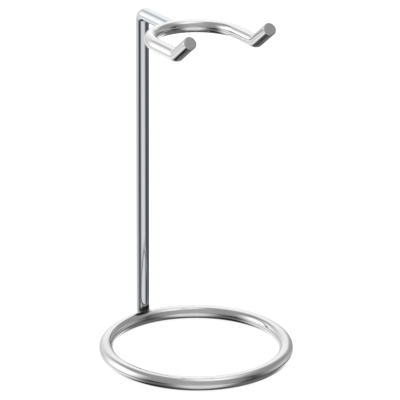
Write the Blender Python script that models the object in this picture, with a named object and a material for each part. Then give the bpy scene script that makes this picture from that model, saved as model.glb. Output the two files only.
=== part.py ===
"""Razor stand of polished round rod: a base ring, an upright with a short arm, and a fork.

Frame: origin on the table under the middle of the stand, +Z up, the fork opens toward -Y.
Lengths are in metres. The stand is symmetric about the YZ plane except for the ring's seam.
"""

from math import cos, pi, radians, sin, tan

import bmesh
import bpy
from mathutils import Matrix, Vector

MM = 0.001

# Rod sizes
RING_ROD = 5.5 * MM
ROD = 5.2 * MM

# Base ring
RING_OUTER = 76.0 * MM
SEAM_ANGLE = radians(58)
SEAM_THICKNESS = 0.6 * MM

# Upright: a straight post that turns into a level arm
ARM_HEIGHT = 128.1 * MM
ARM_REACH = 22.9 * MM
FOOT_LIFT = 0.5 * MM
TOP_BEND_RADIUS = 3.0 * MM

# Razor fork: half circle, straight legs, upturned tips
FORK_RADIUS = 17.35 * MM
LEG_LENGTH = 13.95 * MM
TIP_LENGTH = 11.8 * MM
TIP_RISE = radians(38)
TIP_BEND_RADIUS = 5.0 * MM

# Welds
FIT_GAP = 0.3 * MM
ARM_WELD_THICKNESS = 0.5 * MM
FOOT_WELD_RADIUS = 2.2 * MM

# Finish of the cut ends and fineness of the round sections
END_CHAMFER = 0.15 * MM
ROD_SIDES = 20
RING_STEPS = 92
FORK_STEP = radians(5)
BEND_STEP = radians(9)

# Derived positions
RING_RADIUS = (RING_OUTER - RING_ROD) / 2
POST_OFFSET = (RING_OUTER + ROD) / 2 + FIT_GAP
RING_Y = (RING_OUTER / 2 - POST_OFFSET - ROD / 2) / 2
POST_Y = RING_Y + POST_OFFSET
RING_Z = RING_ROD / 2
FORK_BACK_Y = POST_Y - ARM_REACH
FORK_Y = FORK_BACK_Y - FORK_RADIUS
LEG_END_Y = FORK_Y - LEG_LENGTH

AXIS_X = Vector((1, 0, 0))
AXIS_Y = Vector((0, 1, 0))
AXIS_Z = Vector((0, 0, 1))


class Rod:
    """A rod drawn by pushing its end face forward and bending it, as a wire bender does.

    The section is a polygon whose flats lie at the rod's true radius, two of them
    square to the direction given as up.
    """

    def __init__(self, radius, start, heading, up):
        self.mesh = bmesh.new()
        self.point = Vector(start)
        self.heading = Vector(heading).normalized()
        side = Vector(up).cross(self.heading).normalized()
        top = self.heading.cross(side)
        place = Matrix.Translation(self.point) @ Matrix((side, top, self.heading)).transposed().to_4x4()
        bmesh.ops.create_circle(
            self.mesh,
            cap_ends=True,
            radius=radius / cos(pi / ROD_SIDES),
            segments=ROD_SIDES,
            matrix=place @ Matrix.Rotation(pi / ROD_SIDES, 4, "Z"),
        )
        self.mesh.faces.ensure_lookup_table()
        self.end = self.mesh.faces[0]

    def move_end(self, grown):
        """Take the new end face, and clear the old one from inside the rod."""
        old = self.end
        faces = [item for item in grown if isinstance(item, bmesh.types.BMFace)]
        self.end = next(face for face in faces if len(face.verts) == ROD_SIDES)
        if old.is_valid and len(old.edges[0].link_faces) > 2:
            self.mesh.faces.remove(old)

    def straight(self, length):
        grown = bmesh.ops.extrude_face_region(self.mesh, geom=[self.end])["geom"]
        step = self.heading * length
        verts = [item for item in grown if isinstance(item, bmesh.types.BMVert)]
        bmesh.ops.translate(self.mesh, verts=verts, vec=step)
        self.move_end(grown)
        self.point = self.point + step
        return self

    def bend(self, axis, angle, radius, steps):
        arm = axis.cross(self.heading) * radius
        centre = self.point + arm
        swept = bmesh.ops.spin(
            self.mesh,
            geom=[self.end, *self.end.edges, *self.end.verts],
            cent=centre,
            axis=axis,
            angle=angle,
            steps=steps,
        )["geom_last"]
        self.move_end(swept)
        turn = Matrix.Rotation(angle, 3, axis)
        self.point = centre - turn @ arm
        self.heading = turn @ self.heading
        return self

    def finish(self, name, material=None):
        bmesh.ops.recalc_face_normals(self.mesh, faces=self.mesh.faces)
        mesh = bpy.data.meshes.new(name)
        self.mesh.to_mesh(mesh)
        self.mesh.free()
        mesh.shade_smooth()
        mesh.set_sharp_from_angle(angle=radians(40))
        piece = bpy.data.objects.new(name, mesh)
        bpy.context.scene.collection.objects.link(piece)
        if material is None:
            piece.hide_render = True
            piece.display_type = "WIRE"
        else:
            mesh.materials.append(material)
            piece.parent = stand
        return piece


def metal(name, colour, roughness):
    material = bpy.data.materials.new(name)
    material.use_nodes = True
    shader = material.node_tree.nodes["Principled BSDF"]
    shader.inputs["Base Color"].default_value = (*colour, 1.0)
    shader.inputs["Metallic"].default_value = 1.0
    shader.inputs["Roughness"].default_value = roughness
    return material


def boolean(piece, name, operation, tool):
    modifier = piece.modifiers.new(name, "BOOLEAN")
    modifier.operation = operation
    modifier.object = tool
    modifier.solver = "EXACT"


def chamfer_ends(piece):
    modifier = piece.modifiers.new("end_chamfer", "BEVEL")
    modifier.width = END_CHAMFER
    modifier.segments = 1
    modifier.limit_method = "ANGLE"
    modifier.angle_limit = radians(60)


def around(centre_y, radius, angle, height):
    """The point at an angle from +X on a level circle centred on the stand's middle plane."""
    return Vector((radius * cos(angle), centre_y + radius * sin(angle), height))


def tangent(angle):
    return Vector((-sin(angle), cos(angle), 0))


def ring_arc(radius, first, sweep, steps):
    start = around(RING_Y, RING_RADIUS, first, RING_Z)
    return Rod(radius, start, tangent(first), AXIS_Z).bend(AXIS_Z, sweep, RING_RADIUS, steps)


def fork_back(radius):
    """The back of the fork's half circle alone, at another thickness, for cutting to it."""
    first = radians(50)
    sweep = radians(80)
    start = around(FORK_Y, FORK_RADIUS, first, ARM_HEIGHT)
    rod = Rod(radius, start, tangent(first), AXIS_Z)
    return rod.bend(AXIS_Z, sweep, FORK_RADIUS, round(sweep / FORK_STEP))


def make_base_ring(material):
    opening = (SEAM_THICKNESS + 2 * FIT_GAP) / RING_RADIUS
    ring = ring_arc(RING_ROD / 2, SEAM_ANGLE + opening / 2, 2 * pi - opening, RING_STEPS)
    return ring.finish("base_ring", material)


def make_ring_seam_weld(material):
    start = around(RING_Y, RING_RADIUS, SEAM_ANGLE, RING_Z) - tangent(SEAM_ANGLE) * SEAM_THICKNESS / 2
    seam = Rod(RING_ROD / 2, start, tangent(SEAM_ANGLE), AXIS_Z).straight(SEAM_THICKNESS)
    return seam.finish("ring_seam_weld", material)


def make_upright_rod(material):
    rod = Rod(ROD / 2, (0, POST_Y, FOOT_LIFT), AXIS_Z, AXIS_Y)
    rod.straight(ARM_HEIGHT - FOOT_LIFT - TOP_BEND_RADIUS)
    rod.bend(AXIS_X, pi / 2, TOP_BEND_RADIUS, round(pi / 2 / BEND_STEP))
    rod.straight(ARM_REACH - TOP_BEND_RADIUS)
    upright = rod.finish("upright_rod", material)
    chamfer_ends(upright)
    cope = fork_back(ROD / 2 + 2 * FIT_GAP + ARM_WELD_THICKNESS).finish("arm_cope_cutter")
    boolean(upright, "arm_cope", "DIFFERENCE", cope)
    return upright


def make_arm_weld(material):
    start = (0, FORK_BACK_Y, ARM_HEIGHT)
    weld = Rod(ROD / 2, start, AXIS_Y, AXIS_Z).straight(2 * ROD).finish("arm_weld", material)
    outer = fork_back(ROD / 2 + FIT_GAP + ARM_WELD_THICKNESS).finish("arm_weld_limit")
    inner = fork_back(ROD / 2 + FIT_GAP).finish("arm_weld_cutter")
    boolean(weld, "arm_side", "INTERSECT", outer)
    boolean(weld, "fork_side", "DIFFERENCE", inner)
    return weld


def make_foot_weld(material):
    first_y = RING_Y + RING_RADIUS
    weld = Rod(FOOT_WELD_RADIUS, (0, first_y, RING_Z), AXIS_Y, AXIS_Z)
    weld = weld.straight(POST_Y - first_y).finish("foot_weld", material)
    ring_side = ring_arc(RING_ROD / 2 + FIT_GAP, radians(75), radians(30), 8)
    post_side = Rod(ROD / 2 + FIT_GAP, (0, POST_Y, -RING_ROD), AXIS_Z, AXIS_Y).straight(3 * RING_ROD)
    boolean(weld, "ring_side", "DIFFERENCE", ring_side.finish("foot_weld_ring_cutter"))
    boolean(weld, "post_side", "DIFFERENCE", post_side.finish("foot_weld_post_cutter"))
    return weld


def make_razor_fork(material):
    rise = Vector((0, -cos(TIP_RISE), sin(TIP_RISE)))
    corner = Vector((-FORK_RADIUS, LEG_END_Y, ARM_HEIGHT))
    bend_set_back = TIP_BEND_RADIUS * tan(TIP_RISE / 2)
    bend_steps = round(TIP_RISE / BEND_STEP)
    rod = Rod(ROD / 2, corner + rise * TIP_LENGTH, -rise, AXIS_Z)
    rod.straight(TIP_LENGTH - bend_set_back)
    rod.bend(AXIS_X, TIP_RISE, TIP_BEND_RADIUS, bend_steps)
    rod.straight(LEG_LENGTH - bend_set_back)
    rod.bend(-AXIS_Z, pi, FORK_RADIUS, round(pi / FORK_STEP))
    rod.straight(LEG_LENGTH - bend_set_back)
    rod.bend(-AXIS_X, TIP_RISE, TIP_BEND_RADIUS, bend_steps)
    rod.straight(TIP_LENGTH - bend_set_back)
    fork = rod.finish("razor_fork", material)
    chamfer_ends(fork)
    return fork


for old in list(bpy.data.objects):
    bpy.data.objects.remove(old, do_unlink=True)

stand = bpy.data.objects.new("stand", None)
bpy.context.scene.collection.objects.link(stand)

make_base_ring(metal("ring_chrome", (0.78, 0.78, 0.79), 0.08))
make_ring_seam_weld(metal("seam_weld_metal", (0.70, 0.70, 0.70), 0.22))
make_upright_rod(metal("upright_chrome", (0.80, 0.80, 0.82), 0.06))
make_foot_weld(metal("foot_weld_metal", (0.60, 0.59, 0.58), 0.32))
make_arm_weld(metal("arm_weld_metal", (0.74, 0.74, 0.74), 0.20))
make_razor_fork(metal("fork_chrome", (0.80, 0.80, 0.81), 0.06))
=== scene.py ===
"""Looks for the welded chrome razor stand: smooth rods, fillets, polished metal, studio."""

import math

import bmesh
import bpy
import numpy as np
from mathutils import Matrix, Vector


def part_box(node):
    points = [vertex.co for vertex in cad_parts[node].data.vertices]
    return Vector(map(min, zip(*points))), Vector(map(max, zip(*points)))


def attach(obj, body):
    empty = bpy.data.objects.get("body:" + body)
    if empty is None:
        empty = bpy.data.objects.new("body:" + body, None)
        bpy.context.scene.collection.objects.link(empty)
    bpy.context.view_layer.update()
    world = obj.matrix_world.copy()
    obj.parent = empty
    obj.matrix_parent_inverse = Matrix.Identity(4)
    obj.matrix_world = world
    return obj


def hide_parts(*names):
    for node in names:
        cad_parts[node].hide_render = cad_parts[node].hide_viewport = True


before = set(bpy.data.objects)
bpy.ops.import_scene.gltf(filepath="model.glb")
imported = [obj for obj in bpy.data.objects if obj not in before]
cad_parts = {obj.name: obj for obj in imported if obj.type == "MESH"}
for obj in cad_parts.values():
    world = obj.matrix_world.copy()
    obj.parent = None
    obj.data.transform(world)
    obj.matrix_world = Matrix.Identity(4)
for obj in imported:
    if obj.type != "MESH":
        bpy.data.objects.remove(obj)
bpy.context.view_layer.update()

MM = 0.001

# ---------------------------------------------------------------- sizes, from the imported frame
ring_lo, ring_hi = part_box("base_ring")
post_lo, post_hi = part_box("upright_rod")
fork_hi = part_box("razor_fork")[1]
seam_lo, seam_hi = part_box("ring_seam_weld")

ROD_RADIUS = (post_hi[0] - post_lo[0]) / 2
RING_ROD_RADIUS = ring_hi[2] / 2
RING_OUTER_RADIUS = 38.0 * MM
RING_RADIUS = RING_OUTER_RADIUS - RING_ROD_RADIUS
RING_Y = ring_lo[1] + RING_OUTER_RADIUS
POST_Y = post_hi[1] - ROD_RADIUS
FOOT_Z = post_lo[2]
ARM_Z = post_hi[2] - ROD_RADIUS
FORK_RADIUS = fork_hi[0] - ROD_RADIUS
FORK_Y = fork_hi[1] - ROD_RADIUS - FORK_RADIUS

# the part's own bend sizes, which no box gives
TOP_BEND = 3.0 * MM
TIP_BEND = 5.0 * MM
TIP_RISE = math.radians(38)
LEG_LENGTH = 13.95 * MM
# 0.06 mm shorter than the part's, so that the rounded edge stays under the part's top
TIP_LENGTH = 11.74 * MM
SEAM_LENGTH = 1.2 * MM

# where the seam is on the ring, and half the angle that it takes up
seam_x, seam_y = (seam_lo[0] + seam_hi[0]) / 2, (seam_lo[1] + seam_hi[1]) / 2
SEAM_ANGLE = math.atan2(seam_y - RING_Y, seam_x)
SEAM_HALF = SEAM_LENGTH / 2 / RING_RADIUS
# the ground weld's surface is this much lower than the rod's, all round
SEAM_INSET = 0.01 * MM

# ---------------------------------------------------------------- how finely things are drawn
SIDES = 64
END_ROUND = 0.15 * MM
END_STEPS = 5
CUT_CIRCLES = 4
SHARP_EDGE = math.radians(50)


# ---------------------------------------------------------------- rod meshes
class Path:
    """A rod's centre line: points and headings along straights and bends."""

    def __init__(self, start, heading):
        self.points = [np.array(start, float)]
        self.headings = [np.array(heading, float) / np.linalg.norm(heading)]

    def straight(self, length, pieces):
        """Goes on in the same direction."""
        start, heading = self.points[-1], self.headings[-1]
        for i in range(1, pieces + 1):
            self.points.append(start + heading * length * i / pieces)
            self.headings.append(heading)

    def bend(self, axis, angle, radius, pieces):
        """Turns through angle about an axis that stands radius to the side."""
        axis = np.array(axis, float)
        start, heading = self.points[-1], self.headings[-1]
        arm = np.cross(axis, heading) * radius
        centre = start + arm
        for i in range(1, pieces + 1):
            turn = np.array(Matrix.Rotation(angle * i / pieces, 3, Vector(axis)))
            self.points.append(centre - turn @ arm)
            self.headings.append(turn @ heading)


def rolled_edge(point, heading, radius, outward):
    """Stations that roll the rod's edge over into the flat end face, which stays at point.

    outward is 1 at the rod's end, and -1 at its start.
    """
    made = []
    for i in range(END_STEPS + 1):
        turn = math.pi / 2 * i / END_STEPS
        back = END_ROUND * (1 - math.sin(turn))
        narrower = END_ROUND * (1 - math.cos(turn))
        made.append((point - heading * outward * back, heading, radius - narrower))
    return made


def rod_stations(path, radius, cut_start, cut_end):
    """The point, heading and radius of each circle of vertices along the rod."""
    stations = [(point, heading, radius) for point, heading in zip(path.points, path.headings)]
    if cut_start:
        stations[:1] = rolled_edge(path.points[0], path.headings[0], radius, -1)[::-1]
    if cut_end:
        stations[-1:] = rolled_edge(path.points[-1], path.headings[-1], radius, 1)
    return stations


def circle(bm, centre, side, other, radius):
    """New vertices round centre, which start towards side and turn towards other."""
    made = []
    for k in range(SIDES):
        turn = 2 * math.pi * k / SIDES
        made.append(bm.verts.new(centre + (side * math.cos(turn) + other * math.sin(turn)) * radius))
    return made


def band(bm, row, next_row):
    """Four-sided faces between two circles, in their vertices' order."""
    made = []
    for k in range(SIDES):
        n = (k + 1) % SIDES
        made.append(bm.faces.new((row[k], row[n], next_row[n], next_row[k])))
    return made


def close_end(bm, uv, row, station, is_cut):
    """Caps a rod. The map is flat there, in millimetres from the middle.

    A cut face also gets inner circles and the second material.
    """
    centre, heading, radius = station
    side = np.array(row[0].co) - centre
    side /= np.linalg.norm(side)
    other = np.cross(heading, side)
    faces = []
    if is_cut:
        for j in range(1, CUT_CIRCLES):
            inner = circle(bm, centre, side, other, radius * (1 - j / CUT_CIRCLES))
            faces += band(bm, row, inner)
            row = inner
    middle = bm.verts.new(centre)
    for k in range(SIDES):
        faces.append(bm.faces.new((row[k], row[(k + 1) % SIDES], middle)))
    for face in faces:
        for loop in face.loops:
            offset = np.array(loop.vert.co) - centre
            loop[uv].uv = (float(offset @ side) / MM, float(offset @ other) / MM)
        face.material_index = 1 if is_cut else 0
        face.smooth = True


def rod_mesh(name, path, radius, first_side, cut_start=False, cut_end=False):
    """A smooth rod. Its "rod" map has the length along x and the girth along y, in millimetres."""
    stations = rod_stations(path, radius, cut_start, cut_end)
    bm = bmesh.new()
    uv = bm.loops.layers.uv.new("rod")
    side = np.array(first_side, float)
    rows, along = [], []
    travelled = 0.0
    last_point = stations[0][0]
    for point, heading, station_radius in stations:
        side = side - heading * float(side @ heading)
        side = side / np.linalg.norm(side)
        rows.append(circle(bm, point, side, np.cross(heading, side), station_radius))
        travelled += float(np.linalg.norm(point - last_point))
        last_point = point
        along.append(travelled / MM)
    girth = 2 * math.pi * radius / SIDES / MM
    for i in range(len(rows) - 1):
        for k, face in enumerate(band(bm, rows[i], rows[i + 1])):
            near, far = k * girth, (k + 1) * girth
            marks = ((along[i], near), (along[i], far), (along[i + 1], far), (along[i + 1], near))
            for loop, mark in zip(face.loops, marks):
                loop[uv].uv = mark
            face.smooth = True
    close_end(bm, uv, rows[0], stations[0], cut_start)
    close_end(bm, uv, rows[-1], stations[-1], cut_end)
    return piece_from(bm, name)


def piece_from(bm, name):
    """Turns a finished bmesh into an object, with its faces turned outwards."""
    bmesh.ops.recalc_face_normals(bm, faces=bm.faces)
    mesh = bpy.data.meshes.new(name)
    bm.to_mesh(mesh)
    bm.free()
    mesh.set_sharp_from_angle(angle=SHARP_EDGE)
    piece = bpy.data.objects.new(name, mesh)
    bpy.context.scene.collection.objects.link(piece)
    return piece


# ---------------------------------------------------------------- weld fillets
# A fillet's radius is that of a ball rolled along the joint. Its hidden inner edge, the core, is
# a share of the way in to the rods' axes at the arm, and a small loop round the contact at the foot.
ARM_FILLET = 0.55 * MM
ARM_SECTIONS = 96
ARM_CORE = 0.35
FOOT_FILLET = 0.8 * MM
FOOT_SECTIONS = 72
FOOT_CORE = 0.35 * MM
# the foot's fillet stays this far above the post's lower end
FOOT_CLEARANCE = 0.05 * MM
# the ball's place at the foot is sought by halving, from the contact out to this far from it
FOOT_REACH = 4.0 * MM
HALVINGS = 50
ARC_STEPS = 6
# millimetres of the "rod" map from one section of a fillet, or point of a section, to the next
STRIP_MAP_STEP = 0.2


class LevelRing:
    """A rod bent to a circle at one height: the base ring, or the round back of the fork."""

    def __init__(self, middle_y, bend_radius, level):
        self.middle_y = middle_y
        self.bend_radius = bend_radius
        self.level = level

    def back_y(self, x, z, radius):
        """How far back the rod's surface is at x, at height z above its centre line.

        radius is the rod's own, or a larger one for the middle of a ball that rolls on it.
        """
        reach = self.bend_radius + math.sqrt(max(radius * radius - z * z, 0.0))
        return self.middle_y + math.sqrt(reach * reach - x * x)

    def axis_point(self, x, y):
        """The point of the rod's centre line that is nearest to x and y."""
        flat = math.hypot(x, y - self.middle_y)
        share = self.bend_radius / flat
        return np.array((x * share, self.middle_y + (y - self.middle_y) * share, self.level))


BASE = LevelRing(RING_Y, RING_RADIUS, RING_ROD_RADIUS)
FORK_BACK = LevelRing(FORK_Y, FORK_RADIUS, ARM_Z)


def step_towards(start, target, distance):
    """The point that lies the given distance from start, on the way to target."""
    way = target - start
    return start + way / np.linalg.norm(way) * distance


def strip_mesh(name, sections):
    """A closed band: each section is a loop of points, and the sections follow each other round."""
    bm = bmesh.new()
    uv = bm.loops.layers.uv.new("rod")
    rows = [[bm.verts.new(point) for point in section] for section in sections]
    width = len(rows[0])
    for i, row in enumerate(rows):
        next_row = rows[(i + 1) % len(rows)]
        for k in range(width):
            n = (k + 1) % width
            face = bm.faces.new((row[k], row[n], next_row[n], next_row[k]))
            for loop, (u, v) in zip(face.loops, ((i, k), (i, k + 1), (i + 1, k + 1), (i + 1, k))):
                loop[uv].uv = (u * STRIP_MAP_STEP, v * STRIP_MAP_STEP)
            face.smooth = True
    return piece_from(bm, name)


def arc_between(centre, start, end):
    """Points on the short arc about centre from start to end."""
    radius = np.linalg.norm(start - centre)
    u = (start - centre) / radius
    w = (end - centre) / np.linalg.norm(end - centre)
    angle = math.acos(max(-1.0, min(1.0, float(u @ w))))
    made = []
    for i in range(ARC_STEPS + 1):
        t = i / ARC_STEPS
        way = (math.sin((1 - t) * angle) * u + math.sin(t * angle) * w) / math.sin(angle)
        made.append(centre + radius * way)
    return made


def arm_fillet_sections():
    """Rolls a ball round the arm, where it touches both the arm and the fork's back."""
    sections = []
    for i in range(ARM_SECTIONS):
        turn = 2 * math.pi * (i + 0.5) / ARM_SECTIONS
        reach = ROD_RADIUS + ARM_FILLET
        x, z = reach * math.cos(turn), reach * math.sin(turn)
        y = FORK_BACK.back_y(x, z, reach)
        ball = np.array((x, y, ARM_Z + z))
        arm_axis = np.array((0.0, y, ARM_Z))
        fork_axis = FORK_BACK.axis_point(x, y)
        on_arm = step_towards(arm_axis, ball, ROD_RADIUS)
        on_fork = step_towards(fork_axis, ball, ROD_RADIUS)
        chord_middle = (on_arm + on_fork) / 2
        core = chord_middle + ((arm_axis + fork_axis) / 2 - chord_middle) * ARM_CORE
        sections.append([*arc_between(ball, on_arm, on_fork), core])
    return sections


def foot_ball(turn):
    """The middle of a ball that touches post and ring, in the direction turn from their contact."""
    along_x, along_z = math.cos(turn), math.sin(turn)
    low, high = 0.0, FOOT_REACH
    for _ in range(HALVINGS):
        out = (low + high) / 2
        x, z = out * along_x, out * along_z
        post_y = POST_Y - math.sqrt(max((ROD_RADIUS + FOOT_FILLET) ** 2 - x * x, 0.0))
        ring_y = BASE.back_y(x, z, RING_ROD_RADIUS + FOOT_FILLET)
        if post_y < ring_y:
            low = out
        else:
            high = out
    return np.array((x, (post_y + ring_y) / 2, BASE.level + z))


def foot_fillet_sections():
    """Rolls a ball round the spot where post and ring touch, and fills what it can't reach."""
    contact_y = (RING_Y + RING_RADIUS + RING_ROD_RADIUS + POST_Y - ROD_RADIUS) / 2
    floor_z = FOOT_Z + FOOT_CLEARANCE
    sections = []
    for i in range(FOOT_SECTIONS):
        turn = 2 * math.pi * i / FOOT_SECTIONS
        ball = foot_ball(turn)
        on_post = step_towards(np.array((0.0, POST_Y, ball[2])), ball, ROD_RADIUS)
        on_ring = step_towards(BASE.axis_point(ball[0], ball[1]), ball, RING_ROD_RADIUS)
        core_x, core_z = FOOT_CORE * math.cos(turn), BASE.level + FOOT_CORE * math.sin(turn)
        points = [*arc_between(ball, on_post, on_ring), (core_x, contact_y, core_z)]
        sections.append([(x, y, max(z, floor_z)) for x, y, z in points])
    return sections


# ---------------------------------------------------------------- pieces
# The arm's last stretch has no vertices between its ends, because the cope moves the end back by
# up to the rod's radius. The coped end sinks a little into the fork. The margin is for finding it.
COPE_LENGTH = 3.2 * MM
COPE_SINK = 0.02 * MM
COPE_MARGIN = 0.01 * MM


def ring_path(first, sweep, pieces):
    """A stretch of the base ring's centre line, anticlockwise from above."""
    start = (RING_RADIUS * math.cos(first), RING_Y + RING_RADIUS * math.sin(first), BASE.level)
    path = Path(start, (-math.sin(first), math.cos(first), 0))
    path.bend((0, 0, 1), sweep, RING_RADIUS, pieces)
    return path


def make_ring():
    """The ring's rod, from one side of the seam round to the other."""
    path = ring_path(SEAM_ANGLE + SEAM_HALF, 2 * math.pi - 2 * SEAM_HALF, pieces=300)
    return rod_mesh("ring_rod", path, RING_ROD_RADIUS, first_side=(0, 0, -1))


def make_seam():
    """The short stretch of weld metal that closes the ring."""
    path = ring_path(SEAM_ANGLE - SEAM_HALF, 2 * SEAM_HALF, pieces=6)
    return rod_mesh("ring_seam", path, RING_ROD_RADIUS - SEAM_INSET, first_side=(0, 0, -1))


def make_upright():
    """Post, bend and arm, with the arm's end coped to fit round the fork's back."""
    arm_end = FORK_Y + FORK_RADIUS
    path = Path((0, POST_Y, FOOT_Z), (0, 0, 1))
    path.straight(ARM_Z - FOOT_Z - TOP_BEND, pieces=24)
    path.bend((1, 0, 0), math.pi / 2, TOP_BEND, pieces=20)
    path.straight(POST_Y - TOP_BEND - COPE_LENGTH - arm_end, pieces=6)
    path.straight(COPE_LENGTH, pieces=1)
    piece = rod_mesh("upright", path, ROD_RADIUS, first_side=(1, 0, 0), cut_start=True)
    for vertex in piece.data.vertices:
        if vertex.co.y < arm_end + COPE_MARGIN:
            surface = FORK_BACK.back_y(vertex.co.x, vertex.co.z - ARM_Z, ROD_RADIUS)
            vertex.co.y = surface - COPE_SINK
    return piece


def make_fork():
    """Tip, leg, half circle, leg and tip, in one go from the left tip's end."""
    rise = np.array((0, -math.cos(TIP_RISE), math.sin(TIP_RISE)))
    corner = np.array((-FORK_RADIUS, FORK_Y - LEG_LENGTH, ARM_Z))
    # what the bend between leg and tip takes off each of them
    taken = TIP_BEND * math.tan(TIP_RISE / 2)
    path = Path(corner + rise * TIP_LENGTH, -rise)
    path.straight(TIP_LENGTH - taken, pieces=5)
    path.bend((1, 0, 0), TIP_RISE, TIP_BEND, pieces=12)
    path.straight(LEG_LENGTH - taken, pieces=5)
    path.bend((0, 0, -1), math.pi, FORK_RADIUS, pieces=120)
    path.straight(LEG_LENGTH - taken, pieces=5)
    path.bend((-1, 0, 0), TIP_RISE, TIP_BEND, pieces=12)
    path.straight(TIP_LENGTH - taken, pieces=5)
    return rod_mesh("fork", path, ROD_RADIUS, first_side=(1, 0, 0), cut_start=True, cut_end=True)


# ---------------------------------------------------------------- materials
# painted shade and reflection: dark, dull patches round the foot weld, which stand for the crevice's shade
# and the post's dark reflection in the ring. Middle along the rod and round it, then half sizes, all in the
# millimetres of the "rod" map
POST_PAINTED_SHADE = (4.0, math.radians(292) * ROD_RADIUS / MM, 1.7, 3.5)
# how far round from the seam, where the ring's map starts, the post stands
POST_ALONG_RING = (math.pi / 2 - SEAM_ANGLE - SEAM_HALF) * RING_RADIUS / MM
RING_PAINTED_SHADE = (POST_ALONG_RING + 4.3, math.radians(166) * RING_ROD_RADIUS / MM, 3.6, 0.95)
PAINTED_SHADE_TINT = (0.022, 0.021, 0.021)
PAINTED_SHADE_ROUGHNESS = 0.3
# the painted shade is full up to the first of these shares of its half sizes, and gone at the second
PAINTED_SHADE_FULL, PAINTED_SHADE_GONE = 0.75, 1.45

# buffing lines: noise cells per millimetre along the rod and round it, and the part of the noise
# that roughens the plate
HAIR_STRETCH = (0.05, 7.0, 1.0)
HAIR_LOW, HAIR_HIGH = 0.35, 0.75
HAIR_ROUGHNESS = 0.035
HAIR_HEIGHT = 0.06
# ripples and handling marks: noise cells per metre of the part, and the part of the marks' noise
# that smudges the plate
RIPPLE_SCALE = 130.0
RIPPLE_STRETCH = (1.0, 1.0, 0.35)
MARK_SCALE = 420.0
MARK_LOW, MARK_HIGH = 0.5, 0.72
MARK_SHADE = 0.975
PLATE_RELIEF = 2.0e-6

# cutter rings and clouds on a cut end: noise cells per millimetre from its middle
CUT_RING_SCALE = 9.0
CUT_CLOUD_SCALE = 1.3
CUT_SHADE = 0.96
CUT_ROUGHNESS = (0.16, 0.26)
CUT_RELIEF = 1.0e-6

# weld dimples: noise cells per metre of the part
WELD_SCALE = 1500.0
WELD_SHADE = 0.85
WELD_ROUGHNESS = (0.12, 0.3)
WELD_RELIEF = 1.5e-5

# the middle of a noise's spread, which most patterns run across
NOISE_LOW, NOISE_HIGH = 0.3, 0.7


class Nodes:
    """Short-hand for building a node tree."""

    def __init__(self, tree):
        self.tree = tree

    def add(self, kind, **settings):
        """A new node with its settings made."""
        node = self.tree.nodes.new(kind)
        for key, value in settings.items():
            setattr(node, key, value)
        return node

    def feed(self, source, target):
        """Gives a socket a number or a colour, or joins another socket to it."""
        if isinstance(source, (int, float, tuple)):
            target.default_value = source
        else:
            self.tree.links.new(source, target)

    def math(self, operation, a, b=0.0, c=0.0):
        """The result of a Math node, whose inputs are numbers or sockets."""
        node = self.add("ShaderNodeMath", operation=operation)
        for value, socket in zip((a, b, c), node.inputs):
            self.feed(value, socket)
        return node.outputs[0]

    def range(self, value, low, high, to_low, to_high, smooth=False):
        """A value brought from one range to another, and held at its ends."""
        node = self.add("ShaderNodeMapRange")
        node.interpolation_type = "SMOOTHSTEP" if smooth else "LINEAR"
        self.feed(value, node.inputs["Value"])
        for key, number in (("From Min", low), ("From Max", high), ("To Min", to_low), ("To Max", to_high)):
            self.feed(number, node.inputs[key])
        return node.outputs["Result"]

    def fade(self, value, full, gone):
        """1 up to full, 0 from gone on, and smooth between."""
        return self.range(value, full, gone, 1.0, 0.0, smooth=True)

    def spread(self, noise, to_low=0.0, to_high=1.0):
        """A noise's middle stretch, brought to the range asked for."""
        return self.range(noise, NOISE_LOW, NOISE_HIGH, to_low, to_high)

    def mix(self, factor, low, high):
        """A colour between two, each given as a colour or as a socket."""
        node = self.add("ShaderNodeMix", data_type="RGBA")
        self.feed(factor, node.inputs["Factor"])
        self.feed(low, node.inputs["A"])
        self.feed(high, node.inputs["B"])
        return node.outputs["Result"]

    def noise(self, vector, scale, detail, roughness=0.5):
        """Soft noise from 0 to 1, with scale cells to each unit of the vector."""
        node = self.add("ShaderNodeTexNoise")
        self.feed(vector, node.inputs["Vector"])
        node.inputs["Scale"].default_value = scale
        node.inputs["Detail"].default_value = detail
        node.inputs["Roughness"].default_value = roughness
        return node.outputs["Fac"]

    def stretch(self, vector, scale):
        """A vector, or a number as one, multiplied axis by axis."""
        node = self.add("ShaderNodeMapping")
        self.feed(vector, node.inputs["Vector"])
        node.inputs["Scale"].default_value = scale
        return node.outputs["Vector"]

    def vector_math(self, operation, vector, by=(0.0, 0.0, 0.0)):
        """A Vector Math node, for its Vector or its Value output."""
        node = self.add("ShaderNodeVectorMath", operation=operation)
        self.feed(vector, node.inputs[0])
        self.feed(by, node.inputs[1])
        return node

    def bump(self, height, relief):
        """A normal for a surface whose height runs over relief, in metres."""
        node = self.add("ShaderNodeBump")
        node.inputs["Strength"].default_value = 1.0
        node.inputs["Distance"].default_value = relief
        self.feed(height, node.inputs["Height"])
        return node.outputs["Normal"]


class Metal(Nodes):
    """The node tree of a new metal, which finish completes."""

    def __init__(self, name):
        self.material = bpy.data.materials.new(name)
        self.material.use_nodes = True
        super().__init__(self.material.node_tree)

    def rod_map(self):
        """The place along and round the rod, in millimetres."""
        return self.add("ShaderNodeUVMap", uv_map="rod").outputs["UV"]

    def place(self):
        """The place in the part, in metres."""
        return self.add("ShaderNodeTexCoord").outputs["Object"]

    def finish(self, colour, roughness, normal):
        """Gives the shader its three looks, and returns the material."""
        shader = self.tree.nodes["Principled BSDF"]
        shader.inputs["Metallic"].default_value = 1.0
        self.feed(colour, shader.inputs["Base Color"])
        self.feed(roughness, shader.inputs["Roughness"])
        self.feed(normal, shader.inputs["Normal"])
        return self.material


def opaque(tint, share=1.0):
    """A tint, darkened to a share of itself, as the four numbers of a colour socket."""
    return (*[channel * share for channel in tint], 1.0)


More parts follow.
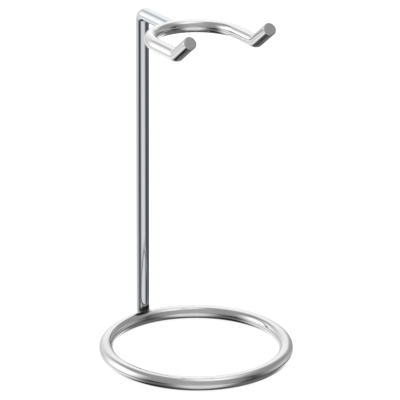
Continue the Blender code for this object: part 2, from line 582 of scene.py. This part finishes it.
def chrome(name, tint, shine=0.07, smudge=0.05, painted_shade=None):
    """Polished plate: lengthwise buffing lines, faint handling marks and a slight ripple.

    shine is the clean plate's roughness, and smudge is what a handling mark adds to it.
    painted_shade is a dark, dull patch of painted shade and reflection beside the foot weld: middle and
    half sizes on the rod map.
    """
    n = Metal(name)
    mapped, place = n.rod_map(), n.place()
    hairs = n.noise(n.stretch(mapped, HAIR_STRETCH), scale=1.0, detail=3.0, roughness=0.6)
    ripple = n.noise(n.stretch(place, RIPPLE_STRETCH), RIPPLE_SCALE, detail=1.0)
    marks = n.noise(place, MARK_SCALE, detail=4.0, roughness=0.65)
    dull = n.range(marks, MARK_LOW, MARK_HIGH, 0.0, smudge, smooth=True)
    rough = n.math("ADD", n.range(hairs, HAIR_LOW, HAIR_HIGH, shine, shine + HAIR_ROUGHNESS), dull)
    colour = n.mix(n.spread(marks), opaque(tint, MARK_SHADE), opaque(tint))
    # paints shade and reflection: a near black patch on the plate beside the foot weld
    if painted_shade is not None:
        along, around, half_along, half_around = painted_shade
        offset = n.vector_math("SUBTRACT", mapped, (along, around, 0.0)).outputs["Vector"]
        scaled = n.vector_math("DIVIDE", offset, (half_along, half_around, 1.0)).outputs["Vector"]
        away = n.vector_math("LENGTH", scaled).outputs["Value"]
        shade_mask = n.fade(away, PAINTED_SHADE_FULL, PAINTED_SHADE_GONE)
        colour = n.mix(shade_mask, colour, opaque(PAINTED_SHADE_TINT))
        rough = n.math("ADD", rough, n.math("MULTIPLY", shade_mask, PAINTED_SHADE_ROUGHNESS))
    height = n.math("ADD", ripple, n.math("MULTIPLY", hairs, HAIR_HEIGHT))
    return n.finish(colour, rough, n.bump(height, PLATE_RELIEF))


def cut_face(name, tint):
    """A cut and buffed rod end: fine rings from the cutter under the same plate."""
    n = Metal(name)
    mapped = n.rod_map()
    from_middle = n.vector_math("LENGTH", mapped).outputs["Value"]
    rings = n.noise(n.stretch(from_middle, (CUT_RING_SCALE,) * 3), scale=1.0, detail=2.0)
    cloud = n.noise(mapped, CUT_CLOUD_SCALE, detail=3.0)
    colour = n.mix(n.spread(cloud), opaque(tint, CUT_SHADE), opaque(tint))
    return n.finish(colour, n.spread(rings, *CUT_ROUGHNESS), n.bump(rings, CUT_RELIEF))


def weld(name, tint):
    """Weld metal, as dark as the tint given, which at the foot is also painted shade: fine dimples, dull
    and uneven.
    """
    n = Metal(name)
    grain = n.noise(n.place(), WELD_SCALE, detail=3.0)
    colour = n.mix(n.spread(grain), opaque(tint, WELD_SHADE), opaque(tint))
    return n.finish(colour, n.spread(grain, *WELD_ROUGHNESS), n.bump(grain, WELD_RELIEF))


def dress(piece, node, slot, *materials):
    """Gives a piece its materials, and puts it in the place of its CAD node."""
    for material in materials:
        piece.data.materials.append(material)
    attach(piece, "root")
    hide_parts(node)


# the share of red, green and blue light that the plate and the welds reflect
# painted shade: the ring's plate is a darker copy of the fork's, for the ring lying further from the lights
RING_SHADED_TINT = (0.665, 0.665, 0.665)
UPRIGHT_TINT = (0.665, 0.685, 0.71)
FORK_TINT = (0.70, 0.70, 0.70)
GROUND_WELD_TINT = (0.69, 0.69, 0.69)
# dark weld metal, made near black so that it also serves as painted crevice shade at the foot
FOOT_WELD_AND_SHADE_TINT = (0.035, 0.034, 0.033)
UPRIGHT_CUT_TINT = (0.66, 0.66, 0.67)
FORK_CUT_TINT = (0.68, 0.68, 0.68)
GROUND_WELD_SHINE = 0.1

# the ring's and the upright's materials carry the painted shade patch by the foot weld
dress(make_ring(), "base_ring", "ring_chrome", chrome("ring_polish_and_painted_shade", RING_SHADED_TINT, painted_shade=RING_PAINTED_SHADE))
dress(
    make_seam(),
    "ring_seam_weld",
    "seam_weld_metal",
    chrome("seam_polish", GROUND_WELD_TINT, shine=GROUND_WELD_SHINE),
)
dress(
    make_upright(),
    "upright_rod",
    "upright_chrome",
    chrome("upright_polish_and_painted_shade", UPRIGHT_TINT, painted_shade=POST_PAINTED_SHADE),
    cut_face("upright_cut", UPRIGHT_CUT_TINT),
)
dress(
    strip_mesh("foot_fillet", foot_fillet_sections()),
    "foot_weld",
    "foot_weld_metal",
    weld("foot_weld_dark_and_shade", FOOT_WELD_AND_SHADE_TINT),
)
dress(
    strip_mesh("arm_fillet", arm_fillet_sections()),
    "arm_weld",
    "arm_weld_metal",
    chrome("arm_weld_polish", GROUND_WELD_TINT, shine=GROUND_WELD_SHINE, smudge=0.08),
)
dress(
    make_fork(),
    "razor_fork",
    "fork_chrome",
    chrome("fork_polish", FORK_TINT),
    cut_face("fork_cut", FORK_CUT_TINT),
)


# ---------------------------------------------------------------- camera
# It stands about a metre off at the front left, well above the fork, and looks down at the
# stand's middle. Its numbers were fitted to the photograph, then rounded.
VIEW_BEARING = math.radians(31.88)
VIEW_PITCH = math.radians(20.44)
VIEW_ROLL = math.radians(0.35)
VIEW_DISTANCE = 1035.0 * MM
VIEW_AIM = Vector((-0.99, -6.48, 65.21)) * MM
FOCAL_LENGTH = 243.9
SENSOR_WIDTH = 36.0


def add_camera():
    """Aims the camera at VIEW_AIM from VIEW_DISTANCE."""
    data = bpy.data.cameras.new("camera")
    data.sensor_width = SENSOR_WIDTH
    data.lens = FOCAL_LENGTH
    data.clip_start = 0.05
    data.clip_end = 30.0
    camera = bpy.data.objects.new("camera", data)
    bpy.context.scene.collection.objects.link(camera)
    vertical = Vector((0.0, 0.0, 1.0))
    ahead = Vector((math.sin(VIEW_BEARING), math.cos(VIEW_BEARING), 0.0))
    forward = ahead * math.cos(VIEW_PITCH) - vertical * math.sin(VIEW_PITCH)
    level = forward.cross(vertical).normalized()
    upright = level.cross(forward)
    right = level * math.cos(VIEW_ROLL) + upright * math.sin(VIEW_ROLL)
    up = upright * math.cos(VIEW_ROLL) - level * math.sin(VIEW_ROLL)
    turned = Matrix((right, up, -forward)).transposed().to_4x4()
    camera.matrix_world = Matrix.Translation(VIEW_AIM - forward * VIEW_DISTANCE) @ turned
    bpy.context.scene.camera = camera


# ---------------------------------------------------------------- studio
AMBIENT_TONE = 145
ALL_ROUND = 200
SIDE_SOFTNESS = 18
CHROME_SHARE = 0.7

# Soft boxes and dark cards round the stand, each laid over the ones before it. Bearings are
# degrees clockwise, seen from above, from where the camera stands; heights are degrees above
# the table. Left and right are those of someone at the stand who faces the camera, so they are
# the other way round in the picture. A half width of ALL_ROUND makes a card a full band.
# Three rows were set one by one: right_wall_foot, left_back_panel and back_glow. A scratch
# program fitted the others to the reflections in the photograph, and they were then rounded.
# name, bearing, height, half width, half height, softness above and below, tone in the chrome
CARDS = (
    ("dark_table", 0, -60, ALL_ROUND, 54, 3, 105),
    ("ceiling", 0, 90, ALL_ROUND, 30, 12, 225),
    ("left_overhead_box", -40, 67, 35, 14, 8, 255),
    ("right_overhead_panel", 75, 55, 50, 25, 12, 150),
    ("back_box", 175, 45, 30, 35, 16, 250),
    ("left_flag", -70, 0, 10, 35, 15, 50),
    ("front_panel", -5, 30, 30, 30, 16, 165),
    ("front_table_edge", -5, -10, 25, 13, 3, 180),
    ("front_floor", -10, -38, 33, 24, 4, 216),
    ("right_flag", 65, -13, 27, 9, 4, 38),
    ("right_wall", 150, 0, 35, 25, 18, 215),
    ("right_wall_foot", 140, -4, 25, 6, 4, 195),
    ("right_strip_light", 95, 10, 25, 25, 12, 280),
    ("right_back_floor", 130, -35, 50, 10, 16, 250),
    ("right_shadow", 100, -65, 50, 12, 7, 15),
    ("left_wall", -115, 0, 20, 12, 15, 200),
    ("left_back_panel", -158, 12, 15, 9, 5, 155),
    ("back_glow", 176, 14, 12, 7, 5, 250),
    ("left_back_floor", -150, -25, 25, 8, 16, 275),
    ("under_table", 0, -90, ALL_ROUND, 20, 18, 65),
    ("left_low_flag", -120, -20, 30, 4, 2, 80),
    ("front_foot_box", -10, -70, 30, 10, 7, 170),
)

FLOOR_HALF = 6.0
FLOOR_DROP = 0.1 * MM
FLOOR_TONE = 0.2
FLOOR_GLOW = 0.9
LAMP_ACROSS = 3.0
LAMP_HEIGHT = 2.0
LAMP_WATTS = 60.0
WHITE = (1.0, 1.0, 1.0, 1.0)


def radiance(tone):
    """Light that a mirror of CHROME_SHARE shows as the given 8-bit sRGB tone."""
    value = tone / 255
    linear = value / 12.92 if value <= 0.04045 else ((value + 0.055) / 1.055) ** 2.4
    return linear / CHROME_SHARE


def lay_card(w, bearing, height, light, card):
    """Lays one card over the light from the cards before it."""
    name, at, above, half_width, half_height, softness, tone = card
    rise = w.math("ABSOLUTE", w.math("SUBTRACT", height, float(above)))
    inside = w.fade(rise, half_height - softness, half_height + softness)
    if half_width < ALL_ROUND:
        turn = w.math("WRAP", w.math("SUBTRACT", bearing, float(at)), 180.0, -180.0)
        aside = w.math("ABSOLUTE", turn)
        within = w.fade(aside, half_width - SIDE_SOFTNESS, half_width + SIDE_SOFTNESS)
        inside = w.math("MULTIPLY", inside, within)
    mix = w.add("ShaderNodeMix", data_type="FLOAT")
    mix.label = name
    w.feed(inside, mix.inputs["Factor"])
    w.feed(light, mix.inputs["A"])
    w.feed(radiance(tone), mix.inputs["B"])
    return mix.outputs["Result"]


def background(w, strength):
    """White light of the given strength."""
    node = w.add("ShaderNodeBackground")
    node.inputs["Color"].default_value = WHITE
    w.feed(strength, node.inputs["Strength"])
    return node.outputs[0]


def add_world():
    """The chrome sees the cards, and the camera sees plain white behind the stand."""
    world = bpy.data.worlds.new("studio")
    bpy.context.scene.world = world
    world.use_nodes = True
    world.node_tree.nodes.clear()
    w = Nodes(world.node_tree)
    split = w.add("ShaderNodeSeparateXYZ")
    w.feed(w.add("ShaderNodeTexCoord").outputs["Generated"], split.inputs[0])
    compass = w.math("DEGREES", w.math("ARCTAN2", split.outputs["X"], split.outputs["Y"]))
    bearing = w.math("SUBTRACT", compass, math.degrees(VIEW_BEARING) - 180.0)
    height = w.math("DEGREES", w.math("ARCSINE", split.outputs["Z"]))
    light = radiance(AMBIENT_TONE)
    for card in CARDS:
        light = lay_card(w, bearing, height, light, card)
    choose = w.add("ShaderNodeMixShader")
    w.feed(w.add("ShaderNodeLightPath").outputs["Is Camera Ray"], choose.inputs["Fac"])
    w.feed(background(w, light), choose.inputs[1])
    w.feed(background(w, 1.0), choose.inputs[2])
    w.feed(choose.outputs[0], w.add("ShaderNodeOutputWorld").inputs["Surface"])


def add_floor():
    """A pale floor that the camera sees and the chrome doesn't."""
    bm = bmesh.new()
    bmesh.ops.create_grid(bm, x_segments=1, y_segments=1, size=FLOOR_HALF)
    mesh = bpy.data.meshes.new("floor")
    bm.to_mesh(mesh)
    bm.free()
    floor = bpy.data.objects.new("floor", mesh)
    floor.location.z = -FLOOR_DROP
    bpy.context.scene.collection.objects.link(floor)
    paper = bpy.data.materials.new("pale_floor")
    paper.use_nodes = True
    shader = paper.node_tree.nodes["Principled BSDF"]
    shader.inputs["Base Color"].default_value = opaque((FLOOR_TONE,) * 3)
    shader.inputs["Emission Color"].default_value = WHITE
    shader.inputs["Emission Strength"].default_value = FLOOR_GLOW
    shader.inputs["Roughness"].default_value = 0.9
    shader.inputs["Specular IOR Level"].default_value = 0.0
    mesh.materials.append(paper)
    floor.visible_glossy = False


def add_lamp():
    """A wide lamp overhead, for the soft shadow on the floor, which the chrome doesn't see."""
    lamp = bpy.data.lights.new("overhead", "AREA")
    lamp.shape = "DISK"
    lamp.size = LAMP_ACROSS
    lamp.energy = LAMP_WATTS
    overhead = bpy.data.objects.new("overhead", lamp)
    overhead.location = (0.0, 0.0, LAMP_HEIGHT)
    overhead.visible_glossy = False
    overhead.visible_camera = False
    bpy.context.scene.collection.objects.link(overhead)


add_camera()
add_world()
add_floor()
add_lamp()
bpy.context.scene.view_settings.view_transform = "Standard"
bpy.context.scene.view_settings.look = "None"
